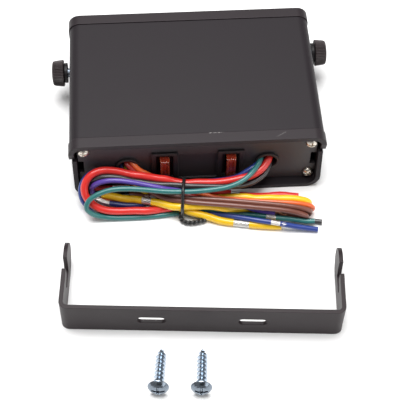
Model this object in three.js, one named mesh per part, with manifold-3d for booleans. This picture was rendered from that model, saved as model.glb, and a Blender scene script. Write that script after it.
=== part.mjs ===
import * as THREE from 'three';
import { mergeVertices } from 'three/addons/utils/BufferGeometryUtils.js';
import Module from 'manifold-3d';

// Control unit in a two-part moulded case with its wiring, mounting bracket and two loose screws.
// Millimetres. +X is right and +Y is forward as seen from behind the unit, +Z is up, and the table is z = 0.

// Running gap between neighbouring pieces.
const GAP = 0.3;
// Drawn-through length that carries a cutter past both faces.
const PAST = 1;

const CASE = { halfWidth: 65, top: 37.5, seam: 26.5, wall: 2.4, corner: 6 };
const TRAY = { halfWidth: 64, corner: 8, wall: 2.4, floor: 2.4, top: 26.2, back: -48, lipBack: -45.6, front: 48 };
const COVER = { back: -39, front: 39 };
const HOOD = { halfWidth: 65.5, top: 37.8, corner: 6.3, wall: 2.8, back: -45.6, seamBack: -44 };
const PANEL = { halfWidth: 61.2, bottom: 2.8, top: 34.6, corner: 4, thick: 2.4, face: 43.1 };
const PANEL_SCREW = { x: 58, low: 6.9, high: 31, headR: 3, headTall: 1.9, shankR: 1.4, shank: 8, cross: 0.9 };
const POST = { side: 7, reach: 10, holeR: 1.6 };
const NOTCH = { left: 58.4, right: 62, bottom: 13.6, top: 23 };

const HOLE = { x: 36, z: 18.4, innerR: 4.9, outerR: 6.1, proud: 1.5 };
const FUSE = { left: -17, right: 17, z: 15.8, thick: 4.8, tall: 19, body: 12.3, length: 18.8, bladeThick: 0.7, bladeWide: 5 };
const SOCKET = {
  width: 13.4, height: 24.4, proud: 1.2, behind: 21, slotWide: 5.6, slotTall: 19.8,
  recessWide: 8.8, recessTall: 20.4, recessDeep: 3,
};
const BLANK = { halfWidth: 10, bottom: 5.5, top: 25.5, deep: 0.8 };

const TRACK = { leftY: 21.2, rightY: 29, z: 19, from: 12, to: 38, height: 5.6, nutSide: 8, nutThick: 3 };
const STUD = { r: 2.5, from: 57.5, to: 72.6 };
const WASHER = { inner: 66.9, thick: 1.9, r: 5.4, bore: 2.7 };
const KNOB = { inner: 68.9, length: 6.2, rimR: 7.3, faceR: 6.2, dome: 0.6, flutes: 36, fluteDeep: 0.25, bore: 2.6 };

const BRACKET = { width: 136, strip: 20, thick: 2, arm: 41.5, bendR: 4, x: -3.2, y: -131.9, yaw: -4.4 };
const HOOK = { from: 22, to: 28.4, seat: 16.8, low: 8.2, high: 14.2 };
const BASE_SLOT = { x: 24.2, z: 10, length: 14, height: 5 };

const LOOSE = { tipR: 0.5, coreR: 1.6, threadR: 2.15, length: 22, headR: 5.1, headTall: 3.1, tilt: 8.6 };
const LOOSE_AT = [
  { name: 'loose_screw_left', x: -25.4, y: -162.6, turn: -6.5 },
  { name: 'loose_screw_right', x: -5.4, y: -163.9, turn: -5.1 },
];

const BOARD = { halfWidth: 54, back: -20.5, front: 34, z: 8, thick: 1.6 };
const HANK = { left: -60, right: 66, y: -62.5, half: 11, waistX: -8, waist: 5, bottom: 1.7, top: 13.6 };
const TIE = { half: 7, wall: 0.9, bottom: 0.4, top: 14.9, wide: 1.6 };
const THICK_WIRE = 1.95;
const THIN_WIRE = 1.35;

const FRONT = { z: 18.4, display: { x: -34, w: 30, h: 14 }, gain: { x: 4, r: 6.5 }, lever: { x: 36, travel: 16 } };

const wasm = await Module();
wasm.setup();

function toSolid(geometry) {
  const plain = geometry.clone();
  plain.deleteAttribute('normal');
  plain.deleteAttribute('uv');
  const joined = mergeVertices(plain, 1e-5);
  const vertProperties = new Float32Array(joined.attributes.position.array);
  const triVerts = new Uint32Array(joined.index.array);
  return new wasm.Manifold(new wasm.Mesh({ numProp: 3, vertProperties, triVerts }));
}

function toGeometry(solid) {
  const mesh = solid.getMesh();
  const geometry = new THREE.BufferGeometry();
  const points = [];
  for (let i = 0; i < mesh.vertProperties.length; i += mesh.numProp) {
    points.push(mesh.vertProperties[i], mesh.vertProperties[i + 1], mesh.vertProperties[i + 2]);
  }
  geometry.setAttribute('position', new THREE.Float32BufferAttribute(points, 3));
  geometry.setIndex(Array.from(mesh.triVerts));
  geometry.computeVertexNormals();
  return geometry;
}

function combine(base, added, cut) {
  let solid = toSolid(base);
  for (const extra of added) {
    solid = solid.add(toSolid(extra));
  }
  for (const tool of cut) {
    solid = solid.subtract(toSolid(tool));
  }
  return toGeometry(solid);
}

// Extrusions of a flat outline: drawn in XZ and run along Y, drawn in YZ and run along X, or drawn in XY.
function alongY(shape, from, to, curve = 6) {
  const geometry = new THREE.ExtrudeGeometry(shape, { depth: to - from, bevelEnabled: false, curveSegments: curve });
  const turn = new THREE.Matrix4().makeBasis(
    new THREE.Vector3(1, 0, 0), new THREE.Vector3(0, 0, 1), new THREE.Vector3(0, -1, 0));
  return geometry.applyMatrix4(turn).translate(0, to, 0);
}

function alongX(shape, from, to, curve = 6) {
  const geometry = new THREE.ExtrudeGeometry(shape, { depth: to - from, bevelEnabled: false, curveSegments: curve });
  const turn = new THREE.Matrix4().makeBasis(
    new THREE.Vector3(0, 1, 0), new THREE.Vector3(0, 0, 1), new THREE.Vector3(1, 0, 0));
  return geometry.applyMatrix4(turn).translate(from, 0, 0);
}

function alongZ(shape, from, to, curve = 6) {
  const geometry = new THREE.ExtrudeGeometry(shape, { depth: to - from, bevelEnabled: false, curveSegments: curve });
  return geometry.translate(0, 0, from);
}

function block(x0, x1, y0, y1, z0, z1) {
  const geometry = new THREE.BoxGeometry(x1 - x0, y1 - y0, z1 - z0);
  return geometry.translate((x0 + x1) / 2, (y0 + y1) / 2, (z0 + z1) / 2);
}

function rod(radius, from, to, sides = 20) {
  return new THREE.CylinderGeometry(radius, radius, to - from, sides).translate(0, (from + to) / 2, 0);
}

function lathe(profile, sides) {
  const points = profile.map(([r, y]) => new THREE.Vector2(r, y));
  return new THREE.LatheGeometry(points, sides);
}

function outline(points) {
  return new THREE.Shape(points.map(([a, b]) => new THREE.Vector2(a, b)));
}

function slotOutline(cx, cy, length, height) {
  const reach = (length - height) / 2;
  const shape = new THREE.Shape();
  shape.moveTo(cx - reach, cy - height / 2);
  shape.lineTo(cx + reach, cy - height / 2);
  shape.absarc(cx + reach, cy, height / 2, -Math.PI / 2, Math.PI / 2, false);
  shape.lineTo(cx - reach, cy + height / 2);
  shape.absarc(cx - reach, cy, height / 2, Math.PI / 2, Math.PI * 1.5, false);
  return shape;
}

function roundedRect(x0, x1, z0, z1, rLow, rHigh) {
  const shape = new THREE.Shape();
  shape.moveTo(x0 + rLow, z0);
  shape.lineTo(x1 - rLow, z0);
  shape.absarc(x1 - rLow, z0 + rLow, rLow, -Math.PI / 2, 0, false);
  shape.lineTo(x1, z1 - rHigh);
  shape.absarc(x1 - rHigh, z1 - rHigh, rHigh, 0, Math.PI / 2, false);
  shape.lineTo(x0 + rHigh, z1);
  shape.absarc(x0 + rHigh, z1 - rHigh, rHigh, Math.PI / 2, Math.PI, false);
  shape.lineTo(x0, z0 + rLow);
  shape.absarc(x0 + rLow, z0 + rLow, rLow, Math.PI, Math.PI * 1.5, false);
  return shape;
}

// An arch open below, for the cover, the hood and the front bezel.
function archOutline(half, top, corner, wall, foot) {
  const inner = corner - wall;
  const shape = new THREE.Shape();
  shape.moveTo(-half, foot);
  shape.lineTo(-half + wall, foot);
  shape.lineTo(-half + wall, top - corner);
  shape.absarc(-half + corner, top - corner, inner, Math.PI, Math.PI / 2, true);
  shape.lineTo(half - corner, top - wall);
  shape.absarc(half - corner, top - corner, inner, Math.PI / 2, 0, true);
  shape.lineTo(half - wall, foot);
  shape.lineTo(half, foot);
  shape.lineTo(half, top - corner);
  shape.absarc(half - corner, top - corner, corner, 0, Math.PI / 2, false);
  shape.lineTo(-half + corner, top);
  shape.absarc(-half + corner, top - corner, corner, Math.PI / 2, Math.PI, false);
  return shape;
}

function upperCover() {
  const arch = archOutline(CASE.halfWidth, CASE.top, CASE.corner, CASE.wall, CASE.seam);
  return alongY(arch, COVER.back, COVER.front, 8);
}

// The rear hood and the front bezel are the same moulding, turned about.
function endHood(side) {
  const arch = archOutline(HOOD.halfWidth, HOOD.top, HOOD.corner, HOOD.wall, CASE.seam);
  const body = alongY(arch, HOOD.back, COVER.back - GAP, 8);
  const raked = outline([
    [HOOD.back - PAST, CASE.seam - PAST], [HOOD.seamBack, CASE.seam - PAST],
    [HOOD.seamBack, CASE.seam], [HOOD.back, HOOD.top - HOOD.corner], [HOOD.back - PAST, HOOD.top - HOOD.corner]]);
  const posts = [];
  const holes = [];
  for (const x of [-PANEL_SCREW.x, PANEL_SCREW.x]) {
    const inner = Math.sign(x) * (HOOD.halfWidth - HOOD.wall / 2);
    const near = x - Math.sign(x) * POST.side / 2;
    posts.push(block(Math.min(near, inner), Math.max(near, inner), -PANEL.face + PANEL.thick + GAP,
      COVER.back - GAP, PANEL_SCREW.high - POST.side / 2, HOOD.top - HOOD.wall / 2));
    holes.push(rod(POST.holeR, -PANEL.face, COVER.back + PAST, 16).translate(x, 0, PANEL_SCREW.high));
  }
  const rounder = toSolid(alongY(roundedRect(-HOOD.halfWidth, HOOD.halfWidth, 0, HOOD.top, 1, HOOD.corner),
    HOOD.back, COVER.back, 8));
  const cut = combine(body, posts, [alongX(raked, -HOOD.halfWidth - PAST, HOOD.halfWidth + PAST), ...holes]);
  const geometry = toGeometry(toSolid(cut).intersect(rounder));
  return side < 0 ? geometry : geometry.rotateZ(Math.PI);
}

function lowerTray() {
  const { halfWidth: half, corner, wall, floor, top } = TRAY;
  const filled = alongY(roundedRect(-half, half, 0, CASE.top, corner, 1), TRAY.back, TRAY.front, 8);
  const shape = new THREE.Shape();
  const inner = corner - wall;
  shape.moveTo(-half + corner, 0);
  shape.lineTo(half - corner, 0);
  shape.absarc(half - corner, corner, corner, -Math.PI / 2, 0, false);
  shape.lineTo(half, top);
  shape.lineTo(half - wall, top);
  shape.lineTo(half - wall, corner);
  shape.absarc(half - corner, corner, inner, 0, -Math.PI / 2, true);
  shape.lineTo(-half + corner, floor);
  shape.absarc(-half + corner, corner, inner, -Math.PI / 2, -Math.PI, true);
  shape.lineTo(-half + wall, top);
  shape.lineTo(-half, top);
  shape.lineTo(-half, corner);
  shape.absarc(-half + corner, corner, corner, Math.PI, Math.PI * 1.5, false);
  const body = alongY(shape, TRAY.back, TRAY.front, 8);
  const added = [];
  const cuts = [];
  for (const end of [-1, 1]) {
    const rake = outline([
      [end * (TRAY.front + PAST), corner], [end * TRAY.front, corner],
      [-end * TRAY.lipBack, top], [-end * TRAY.lipBack, top + PAST], [end * (TRAY.front + PAST), top + PAST]]);
    cuts.push(alongX(rake, -half - PAST, half + PAST));
    const face = end * (PANEL.face - PANEL.thick - GAP);
    const far = end * (PANEL.face - PANEL.thick - GAP - POST.reach);
    for (const x of [-PANEL_SCREW.x, PANEL_SCREW.x]) {
      const wallX = Math.sign(x) * (half - wall / 2);
      const near = x - Math.sign(x) * POST.side / 2;
      added.push(block(Math.min(near, wallX), Math.max(near, wallX), Math.min(face, far), Math.max(face, far),
        floor / 2, PANEL_SCREW.low + POST.side / 2));
      cuts.push(rod(POST.holeR, Math.min(far + end * PAST, end * PANEL.face), Math.max(far + end * PAST, end * PANEL.face), 16)
        .translate(x, 0, PANEL_SCREW.low));
    }
  }
  for (const x of [-BOARD.halfWidth + 6, BOARD.halfWidth - 6]) {
    for (const y of [BOARD.back + 6, BOARD.front - 6]) {
      added.push(block(x - 3, x + 3, y - 3, y + 3, floor / 2, BOARD.z - GAP));
    }
  }
  for (const side of [-1, 1]) {
    const track = slotOutline((TRACK.from + TRACK.to) / 2, TRACK.z, TRACK.to - TRACK.from, TRACK.height);
    cuts.push(alongX(track, side * half - wall - PAST, side * half + wall + PAST, 8));
  }
  return toGeometry(toSolid(combine(body, added, cuts)).intersect(toSolid(filled)));
}

// The panels stand between the tray and the hood; "end" is -1 at the back and 1 at the front.
function blankPanel(end) {
  const plate = roundedRect(-PANEL.halfWidth, PANEL.halfWidth, PANEL.bottom, PANEL.top, PANEL.corner + 1.4, PANEL.corner - 1);
  const inside = end * (PANEL.face - PANEL.thick);
  const outside = end * PANEL.face;
  const geometry = alongY(plate, Math.min(inside, outside), Math.max(inside, outside), 6);
  const cuts = [];
  for (const x of [-PANEL_SCREW.x, PANEL_SCREW.x]) {
    for (const z of [PANEL_SCREW.low, PANEL_SCREW.high]) {
      cuts.push(rod(POST.holeR, Math.min(inside, outside) - PAST, Math.max(inside, outside) + PAST, 16).translate(x, 0, z));
    }
  }
  return { geometry, cuts, low: Math.min(inside, outside) - PAST, high: Math.max(inside, outside) + PAST };
}

function rearPanel() {
  const { geometry, cuts, low, high } = blankPanel(-1);
  for (const side of [-1, 1]) {
    const from = side * NOTCH.left;
    const to = side * NOTCH.right;
    cuts.push(block(Math.min(from, to), Math.max(from, to), low, high, NOTCH.bottom, NOTCH.top));
    cuts.push(rod(HOLE.outerR - 0.5, low, high, 24).translate(side * HOLE.x, 0, HOLE.z));
  }
  for (const x of [FUSE.left, FUSE.right]) {
    const half = SOCKET.width / 2 - 1.2;
    cuts.push(block(x - half, x + half, low, high, FUSE.z - SOCKET.height / 2 + 0.8, FUSE.z + SOCKET.height / 2 - 0.8));
  }
  cuts.push(block(-BLANK.halfWidth, BLANK.halfWidth, low, -PANEL.face + BLANK.deep, BLANK.bottom, BLANK.top));
  return combine(geometry, [], cuts);
}

function frontPanel() {
  const { geometry, cuts, low, high } = blankPanel(1);
  const { display, gain, lever, z } = FRONT;
  cuts.push(block(display.x - display.w / 2, display.x + display.w / 2, low, high, z - display.h / 2, z + display.h / 2));
  cuts.push(rod(3.4, low, high, 20).translate(gain.x, 0, z));
  cuts.push(block(lever.x - lever.travel / 2 - 4, lever.x + lever.travel / 2 + 4, low, high, z - 2.2, z + 2.2));
  for (const x of BUTTON_X) {
    cuts.push(rod(3.2, low, high, 20).translate(x, 0, z));
  }
  cuts.push(rod(1.7, low, high, 16).translate(LED_X, 0, z + 9));
  return combine(geometry, [], cuts);
}

const BUTTON_X = [-13];
const LED_X = 4;

function grommet() {
  const { innerR, outerR, proud } = HOLE;
  const face = -PANEL.face;
  const neck = outerR - 0.8;
  const back = face + PANEL.thick + GAP;
  return lathe([
    [innerR, face - proud], [outerR, face - proud], [outerR, face - GAP], [neck, face - GAP],
    [neck, back], [outerR, back], [outerR, back + 1.4], [innerR, back + 1.4], [innerR, face - proud]], 28);
}

function fuseSocket(x) {
  const { width, height, proud, behind, slotWide, slotTall, recessWide, recessTall, recessDeep } = SOCKET;
  const z0 = FUSE.z - height / 2;
  const z1 = FUSE.z + height / 2;
  const face = -PANEL.face;
  const frame = block(x - width / 2, x + width / 2, face - proud, face - GAP, z0, z1);
  const box = block(x - width / 2 + 1.6, x + width / 2 - 1.6, face - proud / 2, face + behind, z0 + 1.2, z1 - 1.2);
  const slot = block(x - slotWide / 2, x + slotWide / 2, face - proud - PAST, face + behind - 4,
    FUSE.z - slotTall / 2, FUSE.z + slotTall / 2);
  const recess = block(x - recessWide / 2, x + recessWide / 2, face - proud - PAST, face - proud + recessDeep,
    FUSE.z - recessTall / 2, FUSE.z + recessTall / 2);
  return combine(frame, [box], [slot, recess]);
}

function fuseBody(x) {
  const face = -PANEL.face - SOCKET.proud;
  const { thick, tall, body } = FUSE;
  const cap = block(x - thick / 2, x + thick / 2, face - 3.4, face - 1.2, FUSE.z - tall / 2, FUSE.z + tall / 2);
  const waist = block(x - thick / 2 + 0.5, x + thick / 2 - 0.5, face - 1.6, face - 3.4 + body,
    FUSE.z - tall / 2 + 0.8, FUSE.z + tall / 2 - 0.8);
  const pocket = block(x - thick / 2 + 1.5, x + thick / 2 - 1.5, face - 2, face - 2 + body,
    FUSE.z - tall / 2 + 1.6, FUSE.z + tall / 2 - 1.6);
  return combine(cap, [waist], [pocket]);
}

// Two blades joined by the thin link that melts.
function fuseElement(x) {
  const face = -PANEL.face - SOCKET.proud;
  const { bladeThick: t, bladeWide: w, tall, length } = FUSE;
  const edge = tall / 2 - 2.2;
  const tip = face - 3.4 + length;
  const shape = outline([
    [face - 1.4, -edge], [tip, -edge], [tip, -edge + w], [face + 2, -edge + w],
    [face + 0.4, -1], [face + 0.4, 1], [face + 2, edge - w], [tip, edge - w],
    [tip, edge], [face - 1.4, edge]]);
  return alongX(shape, x - t / 2, x + t / 2).translate(0, 0, FUSE.z);
}

// Pan-head screw along Y: "end" -1 enters from behind, 1 from the front.
function panelScrew(end, x, z) {
  const { headR, headTall, shankR, shank, cross } = PANEL_SCREW;
  const body = lathe([
    [0, -shank], [shankR * 0.5, -shank], [shankR, -shank + 1.2], [shankR, 0], [headR, 0],
    [headR, headTall * 0.45], [headR * 0.8, headTall * 0.85], [0, headTall]], 18);
  const span = headR * 1.15;
  const arms = [
    block(-span / 2, span / 2, headTall - 1, headTall + PAST, -cross / 2, cross / 2),
    block(-cross / 2, cross / 2, headTall - 1, headTall + PAST, -span / 2, span / 2)];
  const cut = combine(body, [], arms);
  const lift = PANEL.face + 0.1;
  if (end > 0) {
    return cut.translate(x, lift, z);
  }
  return cut.rotateZ(Math.PI).translate(x, -lift, z);
}

function knob(side) {
  const { length, rimR, faceR, dome, flutes, fluteDeep, bore } = KNOB;
  const outlineAt = (radius) => {
    const points = [];
    for (let i = 0; i < flutes * 2; i += 1) {
      const angle = (i * Math.PI) / flutes;
      const r = radius - (i % 2) * fluteDeep;
      points.push(new THREE.Vector2(r * Math.cos(angle), r * Math.sin(angle)));
    }
    return new THREE.Shape(points);
  };
  const grip = toSolid(alongX(outlineAt(rimR), 0, length + dome));
  const envelope = toSolid(lathe([
    [0, 0], [rimR + 0.1, 0], [faceR + 0.3, length - 1], [faceR - 0.4, length], [0, length + dome]], 36)
    .rotateZ(-Math.PI / 2));
  const hole = toSolid(rod(bore, -PAST, length - 2.2, 16).rotateZ(-Math.PI / 2));
  const geometry = toGeometry(grip.intersect(envelope).subtract(hole)).translate(KNOB.inner, 0, 0);
  return side > 0 ? geometry : geometry.rotateZ(Math.PI);
}

function stud(side) {
  const geometry = rod(STUD.r, STUD.from, STUD.to, 16).rotateZ(-Math.PI / 2);
  return side > 0 ? geometry : geometry.rotateZ(Math.PI);
}

function washer(side) {
  const { inner, thick, r, bore } = WASHER;
  const geometry = lathe([[bore, inner], [r, inner], [r, inner + thick - 0.4], [r - 0.4, inner + thick],
    [bore, inner + thick], [bore, inner]], 24).rotateZ(-Math.PI / 2);
  return side > 0 ? geometry : geometry.rotateZ(Math.PI);
}

function trackNut(side) {
  const { nutSide: s, nutThick: t } = TRACK;
  const outer = TRAY.halfWidth - TRAY.wall - GAP;
  const geometry = combine(block(outer - t, outer, -s / 2, s / 2, -s / 2, s / 2), [],
    [rod(STUD.r + 0.15, outer - t - PAST, outer + PAST, 16).rotateZ(-Math.PI / 2)]);
  return side > 0 ? geometry : geometry.rotateZ(Math.PI);
}

function mountingBracket() {
  const { width, strip, thick, arm, bendR } = BRACKET;
  const half = width / 2;
  const inner = bendR - thick;
  const shape = new THREE.Shape();
  shape.moveTo(-half + bendR, 0);
  shape.lineTo(half - bendR, 0);
  shape.absarc(half - bendR, bendR, bendR, -Math.PI / 2, 0, false);
  shape.lineTo(half, arm);
  shape.lineTo(half - thick, arm);
  shape.lineTo(half - thick, bendR);
  shape.absarc(half - bendR, bendR, inner, 0, -Math.PI / 2, true);
  shape.lineTo(-half + bendR, thick);
  shape.absarc(-half + bendR, bendR, inner, -Math.PI / 2, -Math.PI, true);
  shape.lineTo(-half + thick, arm);
  shape.lineTo(-half, arm);
  shape.lineTo(-half, bendR);
  shape.absarc(-half + bendR, bendR, bendR, Math.PI, Math.PI * 1.5, false);
  const side = new THREE.Shape();
  const tipR = strip / 2;
  side.moveTo(-PAST, 0);
  side.lineTo(arm - tipR, 0);
  side.absarc(arm - tipR, tipR, tipR, -Math.PI / 2, Math.PI / 2, false);
  side.lineTo(HOOK.to, strip);
  side.lineTo(HOOK.to, HOOK.high);
  side.lineTo(HOOK.to - 0.6, HOOK.low);
  side.lineTo(HOOK.seat + 3, HOOK.low);
  side.absarc(HOOK.seat + 3, (HOOK.low + HOOK.high) / 2, (HOOK.high - HOOK.low) / 2, -Math.PI / 2, -Math.PI * 1.5, true);
  side.lineTo(HOOK.from, HOOK.high);
  side.lineTo(HOOK.from, strip);
  side.lineTo(-PAST, strip);
  const silhouette = toSolid(alongX(side, -half - PAST, half + PAST, 10));
  const slots = [-1, 1].map((sign) => alongY(
    slotOutline(sign * BASE_SLOT.x, BASE_SLOT.z, BASE_SLOT.length, BASE_SLOT.height), -PAST, thick + PAST, 8));
  const strap = toSolid(alongZ(shape, 0, strip, 8)).intersect(silhouette);
  const geometry = combine(toGeometry(strap), [], slots);
  return geometry.rotateZ(THREE.MathUtils.degToRad(BRACKET.yaw)).translate(BRACKET.x, BRACKET.y, 0);
}

// Self-tapping screw lying on its head's rim and its thread.
function looseScrew({ x, y, turn }) {
  const { tipR, coreR, threadR, length, headR, headTall, tilt } = LOOSE;
  const profile = [[0, -headTall], [headR * 0.55, -headTall * 0.86], [headR * 0.9, -headTall * 0.4], [headR, 0], [coreR, 0]];
  const pitch = 2;
  for (let s = pitch; s < length - 3; s += pitch) {
    profile.push([coreR, s - 0.7], [threadR, s], [coreR, s + 0.7]);
  }
  profile.push([coreR, length - 3.4], [tipR, length - 0.6], [0, length]);
  const body = lathe(profile, 14);
  const arms = [
    block(-2.6, 2.6, -headTall - PAST, -headTall + 1.6, -0.55, 0.55),
    block(-0.55, 0.55, -headTall - PAST, -headTall + 1.6, -2.6, 2.6)];
  const geometry = combine(body, [], arms);
  geometry.rotateX(-THREE.MathUtils.degToRad(tilt));
  geometry.rotateZ(THREE.MathUtils.degToRad(turn));
  geometry.computeBoundingBox();
  return geometry.translate(x, y, 0.1 - geometry.boundingBox.min.z);
}

function circuitBoard() {
  const { halfWidth: half, back, front, z, thick } = BOARD;
  return block(-half, half, back, front, z, z + thick);
}

function heatSink() {
  const top = BOARD.z + BOARD.thick + GAP;
  const cuts = [];
  for (let i = 0; i < 5; i += 1) {
    cuts.push(block(-46 + i * 5 + 2, -46 + i * 5 + 5, -17 - PAST, -5 + PAST, top + 4, top + 16 + PAST));
  }
  return combine(block(-46, -19, -17, -5, top, top + 16), [], cuts);
}

function relayCan() {
  const top = BOARD.z + BOARD.thick + GAP;
  return alongZ(slotOutlineSquare(28, -6, 19, 15.5), top, top + 15);
}

function slotOutlineSquare(cx, cy, w, h) {
  return roundedRect(cx - w / 2, cx + w / 2, cy - h / 2, cy + h / 2, 1, 1);
}

function capacitor(x, y) {
  const top = BOARD.z + BOARD.thick + GAP;
  const body = lathe([[0, 0], [4.6, 0], [5, 0.5], [5, 1.6], [4.7, 2.1], [5, 2.6], [5, 15], [4.5, 15.6], [0, 15.6]], 20);
  return body.rotateX(Math.PI / 2).translate(x, y, top);
}

function powerTransistor() {
  const top = BOARD.z + BOARD.thick + GAP;
  const body = block(-37, -27, -4.6, -0.2, top + 4, top + 14);
  const legs = [-34.5, -32, -29.5].map((x) => block(x - 0.4, x + 0.4, -2.6, -2, top, top + 5));
  return combine(body, legs, []);
}

function microcontroller() {
  const top = BOARD.z + BOARD.thick + GAP;
  return block(-6, 8, 8, 22, top, top + 2.2);
}

function displayModule() {
  const { display, z } = FRONT;
  const half = display.w / 2 + 1.4;
  const face = PANEL.face - PANEL.thick - GAP;
  return block(display.x - half, display.x + half, face - 6, face, z - display.h / 2 - 1.2, z + display.h / 2 + 1.2);
}

function displayLens() {
  const { display, z } = FRONT;
  const w = display.w / 2 - GAP;
  const h = display.h / 2 - GAP;
  return block(display.x - w, display.x + w, PANEL.face - PANEL.thick, PANEL.face + 0.6, z - h, z + h);
}

function gainPot() {
  const { gain, z } = FRONT;
  const face = PANEL.face - PANEL.thick - GAP;
  const body = block(gain.x - 6, gain.x + 6, face - 7, face, z - 6, z + 6);
  const bore = rod(1.65, face - 5, face + PAST, 16).translate(gain.x, 0, z);
  return combine(body, [], [bore]);
}

function gainShaft() {
  const { gain, z } = FRONT;
  const face = PANEL.face;
  return rod(1.5, face - 6.6, face + 7, 16).translate(gain.x, 0, z);
}

function gainKnob() {
  const { gain, z } = FRONT;
  const face = PANEL.face + 0.6;
  const grip = lathe([[0, 0], [gain.r, 0], [gain.r - 0.4, 8], [gain.r - 1.1, 8.8], [0, 8.8]], 32);
  const bore = rod(1.55, -PAST, 6.8, 16);
  const mark = block(-0.5, 0.5, 8.2, 8.8 + PAST, 1.4, gain.r + PAST);
  return combine(grip, [], [bore, mark]).translate(gain.x, face, z);
}

function overrideLever() {
  const { lever, z } = FRONT;
  const x = lever.x - lever.travel / 2;
  const face = PANEL.face;
  const stem = block(x - 1.8, x + 1.8, face - 6, face + 2, z - 1.6, z + 1.6);
  const grip = block(x - 3, x + 3, face + 1, face + 9, z - 4.5, z + 4.5);
  const ridges = [-2.6, 0, 2.6].map((dz) => block(x - 3 - PAST, x + 3 + PAST, face + 8.2, face + 9 + PAST, z + dz - 0.5, z + dz + 0.5));
  return combine(stem, [grip], ridges);
}

function leverSwitch() {
  const { lever, z } = FRONT;
  const half = lever.travel / 2 + 6;
  const face = PANEL.face - PANEL.thick - GAP;
  const body = block(lever.x - half, lever.x + half, face - 9, face, z - 4, z + 4);
  const groove = block(lever.x - half + 2, lever.x + half - 2, face - 5, face + PAST, z - 2.2, z + 2.2);
  return combine(body, [], [groove]);
}

function button(x) {
  return lathe([[0, -3.6], [2.9, -3.6], [2.9, 2.2], [2.3, 2.8], [0, 2.8]], 20).translate(x, PANEL.face, FRONT.z);
}

function buttonSwitch(x) {
  const face = PANEL.face - PANEL.thick - GAP;
  return block(x - 4, x + 4, face - 6, face - 2.6, FRONT.z - 4, FRONT.z + 4);
}

function statusLed() {
  return lathe([[0, -4.5], [1.45, -4.5], [1.45, 0.3], [1, 0.9], [0, 1.1]], 16).translate(LED_X, PANEL.face, FRONT.z + 9);
}

// The tied hank as one solid of its outer shape, narrow at the tie.
function harnessHank() {
  const { left, right, y, half, waistX, waist, bottom, top } = HANK;
  const shape = new THREE.Shape();
  shape.moveTo(waistX, y - waist);
  shape.lineTo(right - half - 16, y - half);
  shape.lineTo(right - half, y - half);
  shape.absarc(right - half, y, half, -Math.PI / 2, Math.PI / 2, false);
  shape.lineTo(right - half - 16, y + half);
  shape.lineTo(waistX, y + waist);
  shape.lineTo(left + half + 16, y + half);
  shape.lineTo(left + half, y + half);
  shape.absarc(left + half, y, half, Math.PI / 2, Math.PI * 1.5, false);
  shape.lineTo(left + half + 16, y - half);
  return alongZ(shape, bottom, top, 8);
}

function harnessTie() {
  const { half, wall, bottom, top, wide } = TIE;
  const { y, waistX } = HANK;
  const ring = outline([[y - half, bottom], [y + half, bottom], [y + half, top], [y - half, top]]);
  ring.holes.push(outline([
    [y - half + wall, bottom + wall], [y - half + wall, top - wall],
    [y + half - wall, top - wall], [y + half - wall, bottom + wall]]));
  return alongX(ring, waistX - wide / 2, waistX + wide / 2);
}

// Free stretch of each wire: straight out of its hole, then over and down on to the hank.
const WIRES = [
  { name: 'red', hole: 1, angle: 290, reach: 2.6, radius: THICK_WIRE, endX: 30, endY: -58 },
  { name: 'teal', hole: 1, angle: 195, reach: 3.1, radius: THIN_WIRE, endX: 17, endY: -57 },
  { name: 'blue', hole: 1, angle: 135, reach: 3.2, radius: THIN_WIRE, endX: 20, endY: -64 },
  { name: 'purple', hole: 1, angle: 75, reach: 3.2, radius: THIN_WIRE, endX: 25.5, endY: -68 },
  { name: 'black', hole: 1, angle: 10, reach: 3.2, radius: THIN_WIRE, endX: 42, endY: -62 },
  { name: 'yellow', hole: -1, angle: 290, reach: 2.6, radius: THICK_WIRE, endX: -36, endY: -57 },
  { name: 'maroon', hole: -1, angle: 175, reach: 3.2, radius: THIN_WIRE, endX: -46, endY: -60 },
  { name: 'orange', hole: -1, angle: 85, reach: 3.2, radius: THIN_WIRE, endX: -33, endY: -65.5 },
  { name: 'brown', hole: -1, angle: 15, reach: 3.2, radius: THIN_WIRE, endX: -22, endY: -60 },
];

function wireLead({ hole, angle, reach, radius, endX, endY }) {
  const turn = THREE.MathUtils.degToRad(angle);
  const x = hole * HOLE.x + reach * Math.cos(turn);
  const z = HOLE.z + reach * Math.sin(turn);
  const rest = HANK.top + GAP + radius;
  const path = new THREE.CatmullRomCurve3([
    new THREE.Vector3(x, -38.5, z),
    new THREE.Vector3(x, -45.5, z),
    new THREE.Vector3(x + (endX - x) * 0.35, -45.5 + (endY + 45.5) * 0.4, z - (z - rest) * 0.2),
    new THREE.Vector3(x + (endX - x) * 0.8, -45.5 + (endY + 45.5) * 0.8, rest + (z - rest) * 0.3),
    new THREE.Vector3(endX, endY, rest),
  ], false, 'centripetal');
  const sides = radius > 1.5 ? 12 : 8;
  const shape = new THREE.Shape();
  shape.absarc(0, 0, radius, 0, Math.PI * 2, false);
  return new THREE.ExtrudeGeometry(shape, {
    steps: 10, curveSegments: sides / 2, bevelEnabled: false, extrudePath: path });
}

const COLORS = {
  case: 0x3a3636, band: 0x454141, panel: 0x383434, steel: 0x4a4646, zinc: 0xb9c2cc, nickel: 0xd2cfc8,
  fuse: 0xc4553a, board: 0x1f5a35, black: 0x1d1c1c, silver: 0xb4b7ba, lens: 0x2a1416,
};
const WIRE_COLORS = {
  red: 0xd8392c, teal: 0x3f8f86, black: 0x2a2a2c, blue: 0x4f76c8, yellow: 0xe9d531,
  purple: 0x6c55a6, maroon: 0x7c2230, orange: 0xe8853a, brown: 0x7a4a34,
};

const root = new THREE.Group();
root.name = 'control_unit_kit';

function put(name, geometry, color, metal = 0) {
  const material = new THREE.MeshStandardMaterial({ color, metalness: metal, roughness: metal ? 0.35 : 0.7 });
  const mesh = new THREE.Mesh(geometry, material);
  mesh.name = name;
  root.add(mesh);
}

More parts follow.
